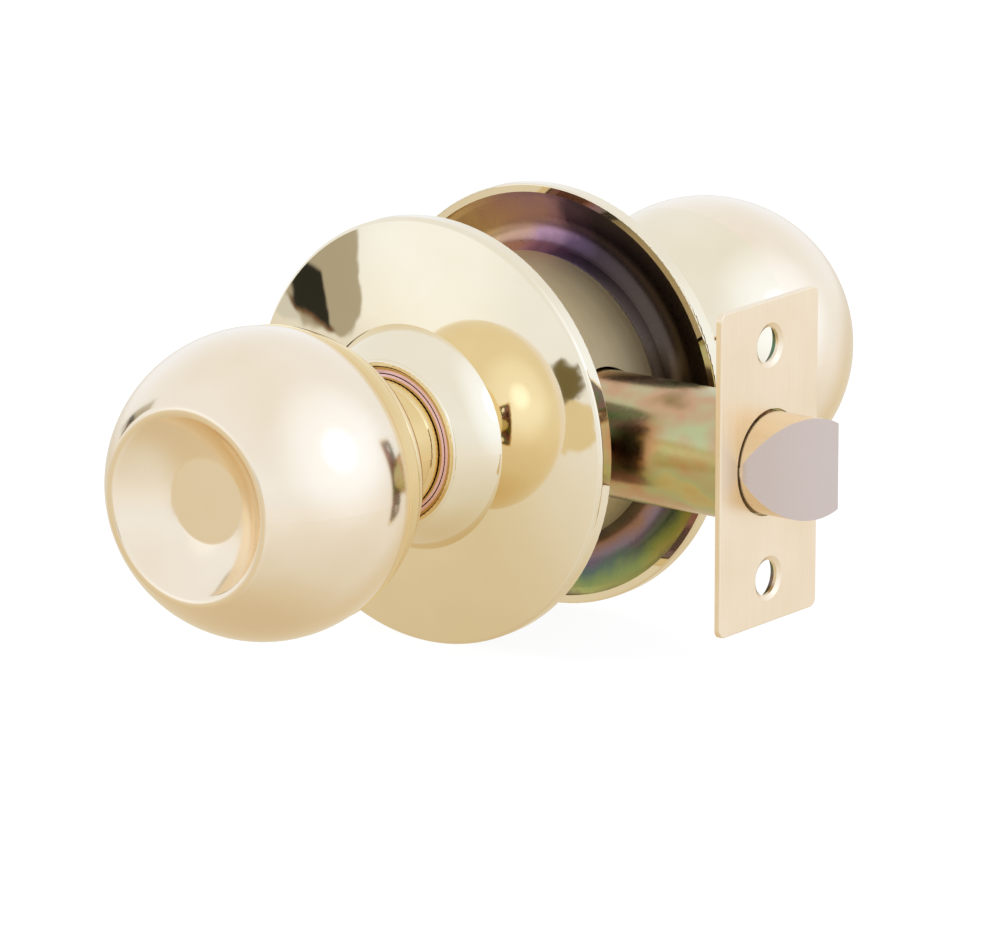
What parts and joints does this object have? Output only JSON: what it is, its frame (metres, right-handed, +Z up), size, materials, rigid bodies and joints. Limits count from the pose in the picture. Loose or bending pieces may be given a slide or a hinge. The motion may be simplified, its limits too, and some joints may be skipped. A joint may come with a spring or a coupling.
{
  "type": "cylindrical knob lock",
  "caption": "Passage knob lock: two dished ball knobs, round roses, a drum chassis, and a bevelled spring latch with a rectangular faceplate.",
  "frame": {"origin": "where the knob axis crosses the latch axis, at the centre of the drum and of the door's thickness", "axes": "+Y along the knob axis from the outside knob to the inside knob, +X along the latch towards the faceplate, +Z up"},
  "size_m": [0.1091, 0.1698, 0.076],
  "materials": {
    "satin_brass": "pearl satin plated brass",
    "polished_brass": "polished brass",
    "brushed_brass": "fine brushed brass",
    "satin_bolt": "satin",
    "satin_zinc": "satin zinc plated",
    "yellow_zinc": "yellow chromated zinc",
    "bright_zinc": "bright zinc plated",
    "spring_steel": "drawn spring wire"
  },
  "bodies": {
    "chassis": {"outside_hub": "yellow_zinc", "outside_rose": "polished_brass", "outside_rose_plate": "yellow_zinc", "outside_end_plate": "satin_zinc", "drum": "satin_zinc", "spring_seat": "bright_zinc", "return_springs": "spring_steel", "inside_end_plate": "satin_zinc", "mounting_plate": "yellow_zinc", "mounting_screws": "bright_zinc", "inside_rose": "polished_brass", "inside_hub": "yellow_zinc", "latch_faceplate": "brushed_brass", "latch_back_plate": "yellow_zinc", "latch_case": "yellow_zinc", "latch_case_end": "yellow_zinc", "latch_bolt_spring": "spring_steel"},
    "outside_knob": {"outside_knob_shell": "satin_brass", "outside_knob_cap": "polished_brass", "outside_knob_core": "bright_zinc", "outside_spindle": "bright_zinc"},
    "inside_knob": {"inside_knob_shell": "satin_brass", "inside_knob_cap": "polished_brass", "inside_knob_core": "bright_zinc", "inside_spindle": "bright_zinc"},
    "knob_catch": {"inside_knob_catch": "spring_steel"},
    "retractor_slide": {"retractor": "bright_zinc"},
    "bolt": {"latch_bolt": "satin_bolt", "latch_tail": "bright_zinc"}
  },
  "joints": [
    {"name": "outside_knob_turn", "type": "hinge", "parent": "chassis", "child": "outside_knob", "pos_m": [0, 0, 0], "axis": [0, 1, 0], "range_deg": [0, 55]},
    {"name": "inside_knob_turn", "type": "hinge", "parent": "chassis", "child": "inside_knob", "pos_m": [0, 0, 0], "axis": [0, 1, 0], "range_deg": [0, 55]},
    {"name": "retractor_draw", "type": "slide", "parent": "chassis", "child": "retractor_slide", "axis": [-1, 0, 0], "range_m": [0, 0.0112], "stiffness_N_per_m": 100, "springref_m": -0.016, "deforming": ["return_springs"]},
    {"name": "bolt_draw", "type": "slide", "parent": "chassis", "child": "bolt", "axis": [-1, 0, 0], "range_m": [0, 0.0112], "stiffness_N_per_m": 60, "springref_m": -0.01, "deforming": ["latch_bolt_spring"]},
    {"name": "knob_release", "type": "slide", "parent": "inside_knob", "child": "knob_catch", "axis": [0, 0, 1], "range_m": [0, 0.0015], "stiffness_N_per_m": 300, "springref_m": -0.001}
  ],
  "couplings": [
    {"joint": "inside_knob_turn", "follows": "outside_knob_turn", "ratio": 1},
    {"joint": "retractor_draw", "follows": "outside_knob_turn", "m_per_rad": 0.011667},
    {"joint": "bolt_draw", "follows": "outside_knob_turn", "m_per_rad": 0.011667}
  ]
}
